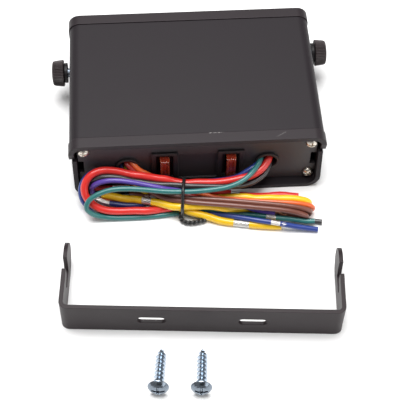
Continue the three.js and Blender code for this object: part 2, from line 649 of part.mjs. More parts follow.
put('upper_cover', upperCover(), COLORS.case);
put('lower_tray', lowerTray(), COLORS.case);
put('rear_hood', endHood(-1), COLORS.band);
put('front_bezel', endHood(1), COLORS.band);
put('rear_panel', rearPanel(), COLORS.panel);
put('front_panel', frontPanel(), COLORS.panel);

for (const [endName, end] of [['rear', -1], ['front', 1]]) {
  for (const [sideName, x] of [['left', -PANEL_SCREW.x], ['right', PANEL_SCREW.x]]) {
    for (const [levelName, z] of [['low', PANEL_SCREW.low], ['high', PANEL_SCREW.high]]) {
      put(`${endName}_screw_${sideName}_${levelName}`, panelScrew(end, x, z), COLORS.nickel, 1);
    }
  }
}

for (const [sideName, side] of [['left', -1], ['right', 1]]) {
  const fuseX = side < 0 ? FUSE.left : FUSE.right;
  put(`${sideName}_grommet`, grommet().translate(side * HOLE.x, 0, HOLE.z), COLORS.black);
  put(`${sideName}_fuse_socket`, fuseSocket(fuseX), COLORS.panel);
  put(`${sideName}_fuse_body`, fuseBody(fuseX), COLORS.fuse);
  put(`${sideName}_fuse_element`, fuseElement(fuseX), COLORS.zinc, 1);
}

for (const [sideName, side, y] of [['left', -1, TRACK.leftY], ['right', 1, TRACK.rightY]]) {
  put(`${sideName}_track_nut`, trackNut(side).translate(0, y, TRACK.z), COLORS.zinc, 1);
  put(`${sideName}_stud`, stud(side).translate(0, y, TRACK.z), COLORS.zinc, 1);
  put(`${sideName}_washer`, washer(side).translate(0, y, TRACK.z), COLORS.black);
  put(`${sideName}_knob`, knob(side).translate(0, y, TRACK.z), COLORS.black);
}

put('mounting_bracket', mountingBracket(), COLORS.steel, 1);
for (const at of LOOSE_AT) {
  put(at.name, looseScrew(at), COLORS.zinc, 1);
}

put('circuit_board', circuitBoard(), COLORS.board);
put('heat_sink', heatSink(), COLORS.silver, 1);
put('power_transistor', powerTransistor(), COLORS.black);
put('relay', relayCan(), COLORS.black);
put('capacitor', capacitor(8, -12), COLORS.black);
put('microcontroller', microcontroller(), COLORS.black);

put('display_module', displayModule(), COLORS.black);
put('display_lens', displayLens(), COLORS.lens);
put('gain_pot', gainPot(), COLORS.silver, 1);
put('gain_shaft', gainShaft(), COLORS.silver, 1);
put('gain_knob', gainKnob(), COLORS.black);
put('lever_switch', leverSwitch(), COLORS.black);
put('override_lever', overrideLever(), COLORS.black);
put('mode_button', button(BUTTON_X[0]), COLORS.black);
put('button_switch', buttonSwitch(BUTTON_X[0]), COLORS.black);
put('status_led', statusLed(), COLORS.fuse);

put('harness_hank', harnessHank(), COLORS.black);
put('harness_tie', harnessTie(), COLORS.black);
for (const wire of WIRES) {
  put(`lead_${wire.name}`, wireLead(wire), WIRE_COLORS[wire.name]);
}

export default root;
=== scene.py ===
import math

import bmesh
import bpy
import numpy as np
from mathutils import Matrix, Vector


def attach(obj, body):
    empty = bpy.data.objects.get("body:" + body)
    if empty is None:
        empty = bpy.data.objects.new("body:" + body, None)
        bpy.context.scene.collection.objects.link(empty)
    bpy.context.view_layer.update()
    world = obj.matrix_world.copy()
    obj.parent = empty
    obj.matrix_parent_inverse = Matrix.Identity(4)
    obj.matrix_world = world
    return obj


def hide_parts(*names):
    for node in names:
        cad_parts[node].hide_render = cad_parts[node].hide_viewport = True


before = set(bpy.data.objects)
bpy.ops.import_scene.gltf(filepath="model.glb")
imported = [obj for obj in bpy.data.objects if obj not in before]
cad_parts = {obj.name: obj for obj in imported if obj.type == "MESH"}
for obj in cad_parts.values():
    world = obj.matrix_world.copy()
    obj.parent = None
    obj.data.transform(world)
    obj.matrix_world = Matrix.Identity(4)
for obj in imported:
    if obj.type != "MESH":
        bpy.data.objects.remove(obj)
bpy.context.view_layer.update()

MM = 0.001

# --- Camera -----------------------------------------------------------------------------
# A long lens stands behind the unit on its wiring side, a little to the left, and looks
# down at the table at 55 degrees.
LENS = 103.95
DISTANCE = 0.604204
AIM = Vector((0.00074, -0.053934, 0.0))
DOWN, SWING, ROLL = (math.radians(angle) for angle in (54.62, -4.43, 1.11))

back = Vector((math.sin(SWING) * math.cos(DOWN), -math.cos(SWING) * math.cos(DOWN), math.sin(DOWN)))
level = (-back).cross(Vector((0, 0, 1))).normalized()
upward = level.cross(-back)
across = level * math.cos(ROLL) + upward * math.sin(ROLL)
upright = upward * math.cos(ROLL) - level * math.sin(ROLL)
camera_data = bpy.data.cameras.new("camera")
camera_data.lens = LENS
camera_data.clip_start = 0.01
camera = bpy.data.objects.new("camera", camera_data)
camera.matrix_world = (Matrix.Translation(AIM + back * DISTANCE)
                       @ Matrix((across, upright, back)).transposed().to_4x4())
bpy.context.scene.collection.objects.link(camera)
bpy.context.scene.camera = camera


# --- Table and studio light ----------------------------------------------------------------
# A white sheet on a table, lit by a wide soft lamp above and behind the unit, a weaker one
# on the right, and the pale walls of the room.
def node(tree, kind, inputs=None, **settings):
    made = tree.nodes.new("ShaderNode" + kind)
    for setting, value in settings.items():
        setattr(made, setting, value)
    for name, value in (inputs or {}).items():
        if isinstance(value, bpy.types.NodeSocket):
            tree.links.new(value, made.inputs[name])
        else:
            made.inputs[name].default_value = value
    return made


def finish(name, shader=None):
    made = bpy.data.materials.new(name)
    made.use_nodes = True
    tree = made.node_tree
    face = tree.nodes["Principled BSDF"]
    for socket, value in (shader or {}).items():
        face.inputs[socket].default_value = value
    return made, tree, face


def link_object(name, data):
    made = bpy.data.objects.new(name, data)
    bpy.context.scene.collection.objects.link(made)
    return made


TABLE_HALF = 3.0
table_mesh = bpy.data.meshes.new("table")
bm = bmesh.new()
bmesh.ops.create_grid(bm, x_segments=1, y_segments=1, size=TABLE_HALF)
bm.to_mesh(table_mesh)
bm.free()
table = link_object("table", table_mesh)
paper, paper_tree, paper_face = finish("white_paper", {"Roughness": 0.9, "Specular IOR Level": 0.1})
paper_grain = node(paper_tree, "TexNoise", {"Scale": 400.0, "Detail": 2.0})
paper_tint = node(paper_tree, "MixRGB", {"Fac": paper_grain.outputs["Fac"],
                                         "Color1": (0.93, 0.93, 0.93, 1), "Color2": (0.96, 0.96, 0.96, 1)})
paper_tree.links.new(paper_tint.outputs["Color"], paper_face.inputs["Base Color"])
table_mesh.materials.append(paper)


def lamp(name, size, power, place, aim):
    data = bpy.data.lights.new(name, "AREA")
    data.size = size
    data.energy = power
    made = link_object(name, data)
    made.location = place
    made.rotation_euler = (Vector(place) - Vector(aim)).to_track_quat("Z", "Y").to_euler()


# A black card stands behind the camera: bright metal shows it as dark patches.
card_mesh = bpy.data.meshes.new("black_card")
bm = bmesh.new()
card_place = Matrix.Translation((0.1, -0.8, 0.75)) @ Matrix.Rotation(math.radians(70), 4, "X")
bmesh.ops.create_grid(bm, x_segments=1, y_segments=1, size=0.45, matrix=card_place)
bm.to_mesh(card_mesh)
bm.free()
card = link_object("black_card", card_mesh)
card_black = finish("card_black", {"Base Color": (0.01, 0.01, 0.01, 1), "Roughness": 0.8})[0]
card_mesh.materials.append(card_black)

lamp("lamp_above", 1.0, 30.0, (-0.1, 0.13, 1.4), (0, -0.04, 0))
lamp("lamp_right", 0.8, 5.0, (1.0, -0.8, 0.6), (0, -0.04, 0.02))
room = bpy.data.worlds.new("room")
room.use_nodes = True
room.node_tree.nodes["Background"].inputs["Color"].default_value = (1.0, 0.99, 0.98, 1)
room.node_tree.nodes["Background"].inputs["Strength"].default_value = 0.36
bpy.context.scene.world = room
bpy.context.scene.view_settings.view_transform = "Standard"


# --- Wires ------------------------------------------------------------------------------
# Twelve PVC-insulated stranded copper wires leave the two holes. They are folded into a
# hank on the table: five turn to the left first and seven to the right. Two wires are the
# thick supply gauge. Each end is cut round and its last sleeve pulled a little way along.
THICK, THIN = 1.95, 1.35
STEP = 2.0
HOLE_X, PANEL_FACE, FUSE_X, FUSE_CAP, TRAY_BACK, TRAY_FLOOR = 36.0, -43.1, 17.0, -47.7, -48.0, 2.4
SLEEVE = 20.0
WIRES = {
    "red": dict(r=THICK, colour=(0.70, 0.026, 0.020), node="lead_red", bare=5, sleeve=30.5, route=[
        (37.3, -37, 20), (37.2, -41.8, 19), (35, -45.6, 17.4), (29, -50, 16.6), (21.2, -52.7, 16),
        (13.5, -53.5, 14.4), (0.6, -53.5, 13.4), (-7.6, -52.7, 13.6), (-17.3, -51.3, 13.8),
        (-27.4, -49.3, 15.6), (-35, -47.9, 17.5), (-44.1, -47, 19.8), (-50.2, -47.3, 21),
        (-55.3, -48.9, 20.1), (-58.6, -51.5, 16.8), (-59.5, -54.2, 13.7), (-58.3, -57.1, 10.6),
        (-55.2, -59.8, 8.1), (-50.7, -61.6, 5.9), (-45.1, -62, 4.7), (-39, -62, 4.4),
        (-30.8, -61.7, 4.3), (-23, -61, 4.3), (-15.2, -59.6, 4.3), (-8, -57.6, 5),
        (-2, -55.4, 6.4), (3.2, -54.8, 7.2), (9, -55, 6.8), (15.1, -55.6, 6.1),
        (21.3, -56.2, 5.2), (29.1, -56.7, 4.7), (39.6, -57, 4.5), (47.4, -57.8, 4),
        (51.5, -58.4, 3.6)]),
    "teal": dict(r=THIN, colour=(0.023, 0.160, 0.155), node="lead_teal", bare=5, sleeve=SLEEVE, route=[
        (33.2, -37, 20.4), (32.8, -42, 19.6), (31.2, -47, 18.9), (27.3, -51.8, 18.2),
        (21, -56.6, 17.5), (13, -59.2, 17), (0.2, -59.8, 16.1), (-8, -59.7, 15.9),
        (-17.6, -59.2, 16.2), (-27.7, -58.2, 17.2), (-35.3, -57.4, 17.5), (-44.4, -57.1, 17.3),
        (-48.5, -57.7, 16.5), (-53.5, -59, 15.2), (-57.4, -60.9, 13.4), (-59, -62.3, 11.3),
        (-58.5, -63.4, 8.4), (-56, -63.8, 5.6), (-52, -63.9, 3.2), (-47.4, -63.9, 1.9),
        (-40.2, -63.9, 1.4), (-32, -64.2, 1.4), (-24, -63.9, 1.4), (-15, -63, 1.4),
        (-8, -62, 1.5), (0, -61.9, 3.8), (7.9, -63, 4.4), (18.1, -65.4, 3.9), (28.4, -67.7, 3.8),
        (39.6, -70.1, 4.2), (50, -71.8, 3.9), (58.5, -72.7, 3.3)]),
    "blue": dict(r=THIN, colour=(0.018, 0.045, 0.240), node="lead_blue", bare=4.5, sleeve=SLEEVE, route=[
        (33.4, -37, 17.6), (33, -42.4, 18.6), (30.4, -46, 18.4), (26.2, -48.9, 16.6),
        (21.5, -50.2, 14.2), (15.2, -49.8, 11.4), (5, -49.8, 10.6), (-8, -49.8, 10),
        (-17.2, -49.3, 10.6), (-24.9, -47.2, 12.2), (-32.5, -46, 13.5), (-40, -45.4, 15.4),
        (-47.6, -44.9, 18), (-52.6, -45.4, 18.8), (-56.4, -47.1, 18), (-59.2, -49.3, 15.7),
        (-61, -51.8, 13.1), (-61.2, -54.3, 10.2), (-60.6, -56.2, 7), (-58.4, -57.6, 3.8),
        (-54.6, -58.6, 1.9), (-48, -58.8, 1.4), (-42, -58.8, 1.4), (-35, -58.8, 1.4),
        (-28, -58.8, 1.4), (-20, -58.7, 1.4), (-8, -58.2, 1.4), (1, -61.4, 1.4), (9, -65.4, 2.4),
        (20.5, -69.2, 4.2), (29.7, -72, 5), (40.1, -74.4, 4.9), (48.4, -75.5, 3.2),
        (59.8, -76.8, 1.6)]),
    "purple": dict(r=THIN, colour=(0.095, 0.052, 0.330), node="lead_purple", bare=0, sleeve=0, route=[
        (35.6, -37, 15.4), (35.4, -42, 14.8), (33.4, -46.4, 12.8), (29.6, -49.8, 10.8),
        (24, -52.6, 10.4), (13.4, -55.2, 11.6), (0.5, -55.1, 12), (-7.7, -56, 12.8),
        (-17.5, -56.3, 15.4), (-27.6, -55.1, 17.2), (-35.1, -53.8, 18.6), (-44.2, -52.8, 19.6),
        (-49.4, -52.9, 18.8), (-53.4, -52.6, 16.4), (-55.8, -52.4, 12.8), (-56.2, -51.8, 9),
        (-54.8, -51.3, 5.4), (-52, -51.2, 2.6), (-47.6, -51.4, 1.5), (-42, -51.5, 1.4),
        (-36, -51.8, 1.4), (-29, -53, 1.5), (-18, -56.2, 3.2), (-8, -57.8, 6.2), (0, -58.8, 6.6),
        (7.6, -60, 6.2), (14, -61.2, 5.9), (19.3, -62.8, 5.8), (25.8, -65, 6), (32.4, -67, 6.2),
        (38.4, -68.4, 6.2)]),
    "black": dict(r=THIN, colour=(0.034, 0.032, 0.034), node="lead_black", bare=4, sleeve=16, route=[
        (38.4, -37, 15.8), (38, -42, 15.2), (35.8, -46.4, 13.6), (32.2, -50, 12), (27, -53, 11.6),
        (20.5, -55.6, 13), (13.2, -56.5, 14.7), (0.4, -56.2, 15.2), (-7.7, -55.7, 15.6),
        (-17.4, -54.1, 15.2), (-27.5, -52.5, 16.2), (-35.1, -51.3, 17.7), (-44.2, -50.6, 19.2),
        (-49.8, -50.2, 19), (-53.4, -49.6, 17.6), (-56, -49.2, 15), (-57.6, -50.4, 11.4),
        (-58, -53, 7.6), (-56.8, -56.4, 4.4), (-53.6, -59.8, 2.4), (-48.6, -61.4, 1.5),
        (-42, -61.4, 1.4), (-35, -61.2, 1.4), (-29, -60.4, 3), (-23, -58.4, 4.1),
        (-17, -56.4, 3.6), (-12, -55.6, 2), (-8, -55.4, 1.4), (2, -57, 1.5), (12, -60, 1.5),
        (22, -63, 1.4), (32, -66.2, 1.4), (42, -68.7, 1.4), (52, -70.2, 1.4), (62.6, -72.2, 1.5)]),
    "yellow_folded": dict(r=THICK, colour=(0.860, 0.520, 0.008), node="lead_yellow", bare=5,
                          sleeve=21.5, route=[
        (-37.2, -37, 15.8), (-36.4, -43, 15), (-32, -48.4, 10.6), (-25, -51.6, 7),
        (-16, -53.6, 5), (-8, -54.2, 4.4), (0, -55.6, 4.6), (7, -57.2, 5.8), (14.9, -58.7, 7),
        (23.6, -59.9, 7.3), (31.3, -60.6, 7.6), (39, -60.9, 7.8), (46.8, -61, 7.9),
        (53.2, -61.9, 7.4), (57.6, -62.8, 5.6), (59, -62.6, 3.2), (56, -61.6, 2), (49, -60.6, 2),
        (40, -60.6, 2), (30, -61.4, 2.4), (22, -62.6, 4), (14, -63, 6), (7, -63, 7.6),
        (-0.4, -63, 8.2), (-8, -62.5, 7.6), (-17.7, -60.5, 6.6), (-25.4, -58.4, 5.8),
        (-32, -56.8, 5.2), (-40, -54.8, 4.6), (-50.8, -51.8, 4)]),
    "yellow_plain": dict(r=THICK, colour=(0.860, 0.520, 0.008), node=None, bare=8, sleeve=16.5, route=[
        (-33.8, -37, 15.4), (-33.4, -43, 14.2), (-31, -47.2, 10), (-27.4, -49.6, 7.6),
        (-22.6, -51.2, 6.4), (-17, -54.6, 5.8), (-12, -59.6, 4.8), (-8, -62.6, 4),
        (0.1, -65.4, 3.6), (7.6, -67.6, 2.4), (16.7, -70.1, 2), (24.8, -71.8, 2),
        (32.9, -73.2, 2), (41.5, -74.2, 2)]),
    "maroon": dict(r=THIN, colour=(0.360, 0.020, 0.018), node="lead_maroon", bare=9, sleeve=11, route=[
        (-38.4, -37, 20.9), (-37.4, -41.4, 20.4), (-35.2, -44.4, 18.6), (-32, -46.4, 16.6),
        (-27, -48.6, 14), (-20, -51.6, 11.4), (-14, -54.6, 10.4), (-8, -56.8, 9.9),
        (-2, -57.8, 9), (3.4, -57.6, 7.2), (6, -56, 5), (4.6, -53.8, 3.4), (0, -52, 3.4),
        (-8, -50.6, 5.8), (-18, -50.8, 7.8), (-28, -49.8, 8.4), (-36, -49.2, 8.2), (-43, -49, 8),
        (-48, -49.2, 8), (-55.4, -49.8, 8)]),
    "orange": dict(r=THIN, colour=(0.760, 0.130, 0.028), node="lead_orange", bare=5.5, sleeve=19, route=[
        (-35.4, -37, 21.6), (-34.9, -41.6, 20.6), (-32.9, -44.4, 18.8), (-30, -46.8, 16.8),
        (-26.4, -48.4, 15), (-22, -49.8, 13.2), (-15, -52.4, 11.2), (-8, -54.4, 10.2),
        (0, -57, 9.8), (7, -59.4, 9.6), (14.6, -61.2, 9.5), (23.3, -62.3, 9.6),
        (30.9, -63.2, 9.6), (38.6, -63.9, 9.4), (46.3, -64.6, 9.2), (53, -65.3, 8.6),
        (58, -65.8, 7.2), (60.4, -65.8, 4.8), (58.6, -65, 2.6), (53, -63.6, 1.5),
        (46, -62.2, 1.4), (38, -60.8, 1.4), (28, -59, 1.4), (14, -56.8, 2.4), (2, -54.6, 5.2),
        (-8, -53.2, 7.4), (-16, -53.4, 6), (-23, -54.4, 4.6), (-31.2, -55, 4), (-38, -54.4, 4),
        (-44.6, -53.4, 4.2), (-53.4, -52.4, 4)]),
    "brown_upper": dict(r=THIN, colour=(0.180, 0.060, 0.040), node="lead_brown", bare=4, sleeve=12, route=[
        (-32.7, -37, 19.6), (-32.4, -42.4, 19), (-30.4, -46.4, 15.6), (-26.6, -50, 12),
        (-20.4, -54, 9.4), (-14, -57.6, 9.6), (-8, -59.8, 10.7), (0.2, -61.1, 11.4),
        (7.8, -62.3, 11.6), (15.4, -63.3, 11.6), (23, -64.4, 11.4), (30.6, -65.4, 11),
        (38.3, -66.3, 10.6), (45.9, -67.3, 10), (52.4, -68.2, 9), (57, -68.8, 7.2),
        (58.8, -68.8, 4.8), (56.6, -68.2, 2.6), (51, -66.8, 1.6), (44, -64.8, 1.5),
        (36, -62.6, 2), (28, -60.2, 2.6), (18, -58.4, 3.2), (5, -55.4, 3.6), (-8, -51, 4),
        (-18, -50.6, 4.4), (-28, -50.6, 4), (-36, -50.4, 3.2)]),
    "brown_lower": dict(r=THIN, colour=(0.165, 0.054, 0.037), node=None, bare=4, sleeve=12, route=[
        (-36.1, -37, 18.9), (-36, -42.6, 18), (-33, -47.6, 13.4), (-27.4, -52, 10.4),
        (-20, -56.6, 8.6), (-13, -60.6, 9.8), (-8, -62.4, 11), (0, -63.8, 11.3),
        (7.6, -64.9, 11.4), (15.2, -66, 11.4), (22.8, -67.1, 11.2), (30.4, -68, 10.9),
        (38, -68.9, 10.4), (45.7, -70, 9.6), (52, -71.1, 8), (56, -71.6, 5.6), (55, -71, 3.4),
        (50.6, -69.4, 2.4), (44, -67, 3.4), (37, -65, 4.4), (28, -62.6, 4.6), (16, -60.6, 5),
        (4, -58.4, 5.6), (-8, -55.9, 7.2), (-18, -55.2, 5.8), (-27, -53.4, 5), (-36, -52, 5)]),
    "navy": dict(r=THIN, colour=(0.012, 0.028, 0.150), node=None, bare=8, sleeve=0, route=[
        (-39.4, -37, 17.8), (-38.6, -43, 16.6), (-36, -46.8, 11), (-31.6, -48.8, 6.4),
        (-26.6, -50, 3.4), (-22, -51.8, 2), (-20, -54.4, 1.8), (-21.6, -56.8, 2.4),
        (-26, -57.8, 3.2), (-31, -58.1, 3.7), (-37, -58, 3.9), (-43, -57.2, 4), (-49.2, -56, 4.4),
        (-53.6, -53.6, 6)]),
}


def smooth_line(route):
    ends = [2 * np.array(route[0]) - route[1], *np.array(route, float), 2 * np.array(route[-1]) - route[-2]]
    steps = np.linspace(0, 1, 10, endpoint=False)[:, None]
    parts = [0.5 * (2 * b + (c - a) * steps + (2 * a - 5 * b + 4 * c - d) * steps ** 2
                    + (3 * b - a - 3 * c + d) * steps ** 3)
             for a, b, c, d in zip(ends, ends[1:], ends[2:], ends[3:])]
    return spaced(np.vstack([*parts, ends[-2][None]]), STEP)


def along(line):
    return np.concatenate([[0], np.cumsum(np.linalg.norm(np.diff(line, axis=0), axis=1))])


def spaced(line, step):
    run = along(line)
    at = np.linspace(0, run[-1], int(round(run[-1] / step)) + 1)
    return np.column_stack([np.interp(at, run, line[:, k]) for k in range(3)])


def keep_clear(place, radius, start):
    """Holds the wires outside the table, the panel, the fuse caps and the tray's floor."""
    free = start > 4
    x, y, z = place.T
    z[:] = np.maximum(z, radius)
    limit = np.full(len(x), PANEL_FACE) - radius - 0.1
    grommet = np.abs(np.abs(x) - HOLE_X) < 7
    limit[grommet & (z > 11)] -= 1.6
    fuse = np.abs(np.abs(x) - FUSE_X) < 2.6 + radius
    limit[fuse] = FUSE_CAP - radius[fuse] - 0.1
    low = z < TRAY_FLOOR + radius
    limit[low] = TRAY_BACK - radius[low] - 0.1
    y[free] = np.minimum(y, limit)[free]


ROUNDS, LAST_ROUNDS, LOOK_EVERY = 150, 20, 6
CLOSE, AIR, PUSH, FARTHEST_PUSH = 6.0, 1.02, 0.3, 0.6
EASE, LAST_EASE, HOME_PULL = 0.12, 0.04, 0.022


def settle(lines, radii):
    """Pushes wires that share a place apart, and eases each one's bends."""
    sizes = [len(line) for line in lines]
    place, radius = np.vstack(lines), np.repeat(radii, sizes)
    wire = np.repeat(np.arange(len(lines)), sizes)
    start = np.concatenate([np.arange(size) for size in sizes])
    home = place.copy()
    inner = np.ones(len(place), bool)
    inner[np.concatenate([[0], np.cumsum(sizes)])[:-1]] = False
    inner[np.cumsum(sizes) - 1] = False
    inner &= start > 2
    middle = np.nonzero(inner)[0]
    for turn in range(ROUNDS):
        if turn % LOOK_EVERY == 0:
            gap = np.linalg.norm(place[:, None] - place[None], axis=2)
            apart = (wire[:, None] != wire[None]) | (np.abs(start[:, None] - start[None]) > 6)
            one, two = np.nonzero(np.triu((gap < CLOSE) & apart))
        between = place[two] - place[one]
        gap = np.linalg.norm(between, axis=1) + 1e-9
        short = np.maximum(0, (radius[one] + radius[two]) * AIR - gap)
        push = between / gap[:, None] * (short * PUSH)[:, None]
        move = np.zeros_like(place)
        np.add.at(move, one, -push)
        np.add.at(move, two, push)
        move[start < 3] = 0
        place += np.clip(move, -FARTHEST_PUSH, FARTHEST_PUSH)
        ease = EASE if turn < ROUNDS - LAST_ROUNDS else LAST_EASE
        place[middle] += ease * ((place[middle - 1] + place[middle + 1]) / 2 - place[middle])
        place += HOME_PULL * (home - place)
        keep_clear(place, radius, start)
    return np.split(place, np.cumsum(sizes)[:-1])


def cut_line(line, first, last):
    run = along(line)
    inside = line[(run > first + 0.01) & (run < last - 0.01)]
    ends = [np.array([np.interp(at, run, line[:, k]) for k in range(3)]) for at in (first, last)]
    return np.vstack([ends[0], inside, ends[1]])


def tube(name, lines, radius, material, smooth=True, closed=False):
    data = bpy.data.curves.new(name, "CURVE")
    data.dimensions = "3D"
    data.bevel_depth = radius * MM
    data.bevel_resolution = 4
    data.resolution_u = 4
    data.use_fill_caps = True
    for line in lines:
        spline = data.splines.new("BEZIER" if smooth else "POLY")
        points = spline.bezier_points if smooth else spline.points
        points.add(len(line) - 1)
        for point, at in zip(points, line):
            point.co = (*(at * MM), 1)[: 3 if smooth else 4]
            if smooth:
                point.handle_left_type = point.handle_right_type = "AUTO"
        spline.use_cyclic_u = closed
    data.materials.append(material)
    return link_object(name, data)


def noise(tree, place, scale, detail):
    return node(tree, "TexNoise", {"Vector": place, "Scale": scale, "Detail": detail}).outputs["Fac"]


def spread(tree, value, low=0.0, high=1.0, first=0.0, last=1.0):
    """Turns a value between low and high into one between first and last."""
    limits = {"From Min": low, "From Max": high, "To Min": first, "To Max": last}
    return node(tree, "MapRange", {"Value": value, **limits}).outputs["Result"]


def mixed(tree, share, one, two, how="MIX"):
    """A colour between two, each of them a plain colour or another node's."""
    one, two = ((*end, 1) if isinstance(end, (tuple, list)) else end for end in (one, two))
    return node(tree, "MixRGB", {"Fac": share, "Color1": one, "Color2": two}, blend_type=how).outputs["Color"]


def dress(tree, face, colour, sheen, strength, depth, height, rounded=None):
    """Gives a surface its colour, its roughness and a fine relief."""
    relief = {"Strength": strength, "Distance": depth * MM, "Height": height}
    if rounded is not None:
        relief["Normal"] = rounded
    tree.links.new(colour, face.inputs["Base Color"])
    tree.links.new(sheen, face.inputs["Roughness"])
    tree.links.new(node(tree, "Bump", relief).outputs["Normal"], face.inputs["Normal"])


def pvc(name, colour):
    made, tree, face = finish(name, {"Coat Weight": 0.25, "Coat Roughness": 0.18,
                                     "Specular IOR Level": 0.5})
    place = node(tree, "TexCoord").outputs["Object"]
    cloud = noise(tree, place, 160.0, 3.0)
    streak = noise(tree, place, 900.0, 2.0)
    dull = [0.80 * part for part in colour]
    bright = [min(1, 1.12 * part + 0.004) for part in colour]
    sheen = spread(tree, cloud, 0.0, 1.0, 0.26, 0.44)
    dress(tree, face, mixed(tree, cloud, dull, bright), sheen, 0.35, 0.03, streak)
    return made


def plated(name, colour, rough, hollow_shade=0.0):
    """Bare or plated metal, with an optional painted shade in its inner corners; the last argument says how
    much darker they are.
    """
    made, tree, face = finish(name, {"Metallic": 1.0})
    place = node(tree, "TexCoord").outputs["Object"]
    cloud = noise(tree, place, 260.0, 4.0)
    fine = noise(tree, place, 700.0, 3.0)
    tint = mixed(tree, cloud, [0.72 * part for part in colour], colour)
    if hollow_shade:
        # Painted shade: low pointiness (thread roots and inner corners) darkens the colour, standing in for
        # the shade that falls in hollows.
        point = node(tree, "NewGeometry").outputs["Pointiness"]
        tint = mixed(tree, 1.0, tint, spread(tree, point, 0.45, 0.60, 1 - hollow_shade), "MULTIPLY")
    sheen = spread(tree, fine, 0.0, 1.0, rough * 0.7, rough * 1.4)
    dress(tree, face, tint, sheen, 0.4, 0.01, fine)
    return made


tinned_strand = plated("tinned_strand", (0.86, 0.83, 0.80), 0.34)
copper_strand = plated("copper_strand", (0.80, 0.42, 0.26), 0.30)


def twisted(line, radius, count, lay):
    """Lines that wind about a line, as strands do."""
    run = along(line)
    fine = np.linspace(0, run[-1], max(8, int(run[-1] / 0.7)))
    core = np.column_stack([np.interp(fine, run, line[:, k]) for k in range(3)])
    forward = np.gradient(core, axis=0)
    forward /= np.linalg.norm(forward, axis=1)[:, None]
    side = np.cross(forward, (0, 0, 1))
    side /= np.linalg.norm(side, axis=1)[:, None]
    over = np.cross(side, forward)
    strands = []
    for k in range(count):
        angle = (fine / lay + k / count) * math.tau
        strands.append(core + radius * (np.cos(angle)[:, None] * side + np.sin(angle)[:, None] * over))
    return strands


radii = [wire["r"] for wire in WIRES.values()]
settled = settle([smooth_line(wire["route"]) for wire in WIRES.values()], radii)
POINTS_ALONG = 4.0
for (name, wire), line in zip(WIRES.items(), settled):
    radius, bare, sleeve = wire["r"], wire["bare"], wire["sleeve"]
    skin = pvc("pvc_" + name, wire["colour"])
    whole = along(line)[-1]
    covered = whole - bare - sleeve
    insulation = spaced(cut_line(line, 0, covered), POINTS_ALONG)
    jacket = tube("wire_" + name, [insulation], radius, skin)
    with_it = []
    if bare:
        core_line = cut_line(line, covered - 1, whole + (0.3 if sleeve else 0))
        wound = twisted(core_line, 0.66 * radius, 7, 14)
        strands = tube("strands_" + name, wound, 0.27 * radius, tinned_strand, False)
        heart = tube("core_" + name, [core_line], 0.55 * radius, tinned_strand, False)
        with_it += [strands, heart]
    if sleeve:
        sleeve_line = spaced(cut_line(line, covered + bare, whole), POINTS_ALONG)
        with_it.append(tube("sleeve_" + name, [sleeve_line], radius, skin))
    if name == "purple":
        curl = [line[-1] + np.array((2.2 * k, 1.1 * math.sin(1.9 * k), 0.9 * math.cos(1.9 * k) - 0.9))
                for k in np.linspace(0, 2.6, 14)]
        copper = twisted(np.array(curl), 0.35, 4, 9)
        with_it.append(tube("strands_purple", copper, 0.16, copper_strand, False))
    for piece in [jacket, *with_it]:
        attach(piece, "unit")
    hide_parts(*([wire["node"]] if wire["node"] else []), "harness_hank")

# The tie is a plastic-coated soft wire: one turn drawn tight about the hank, then its two
# ends twisted together and bent up against the wires.
TIE_X, TIE_R, TIE_LIFT = -8.0, 0.88, 0.35
tie_skin = pvc("tie_skin", (0.012, 0.012, 0.013))
section = [(at[1] + (r + TIE_LIFT) * math.cos(turn), at[2] + (r + TIE_LIFT) * math.sin(turn))
           for line, r in zip(settled, radii) for at in line if abs(at[0] - TIE_X) < 1.2
           for turn in (k * math.tau / 24 for k in range(24))]
bm = bmesh.new()
for y, z in section:
    bm.verts.new((0, y, max(z, TIE_R)))
bmesh.ops.convex_hull(bm, input=bm.verts)
rim_points = [v.co.copy() for v in bm.verts if v.link_edges]
bm.free()
middle_y = sum(p.y for p in rim_points) / len(rim_points)
middle_z = sum(p.z for p in rim_points) / len(rim_points)
rim_points.sort(key=lambda p: math.atan2(p.z - middle_z, p.y - middle_y))
ring = np.array([(TIE_X + 0.11 * (p.y - middle_y), p.y, p.z) for p in rim_points])
ring = spaced(np.vstack([ring, ring[:1]]), 1.2)[:-1]
tie_ring = tube("tie_ring", [ring], TIE_R, tie_skin, False, closed=True)
tail_route = [(-9.6, -63.8, 2.6), (-10, -65.6, 2), (-9.4, -67.4, 1.6), (-7.6, -68.8, 1.6),
              (-5.2, -69.3, 1.7), (-2.6, -69.2, 1.9), (0.2, -68.6, 2), (3, -67.8, 1.8)]
tie_tail = tube("tie_tail", twisted(smooth_line(tail_route), 0.7, 2, 4.4), 0.68, tie_skin, False)
for piece in (tie_ring, tie_tail):
    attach(piece, "unit")
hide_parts("harness_tie")


# --- Case -------------------------------------------------------------------------------
# Fine-grained black ABS: a folded-over cover, a tray below it, and at each end the same
# smoother hood moulding held by the panel's screws.
def edge_turn(tree, radius):
    """The rounded normal near edges, and how far it turns from the face's own."""
    rounded = node(tree, "Bevel", {"Radius": radius * MM}, samples=6).outputs["Normal"]
    flat = node(tree, "NewGeometry").outputs["Normal"]
    turn = node(tree, "VectorMath", {0: rounded, 1: flat}, operation="DOT_PRODUCT")
    return rounded, turn.outputs["Value"]


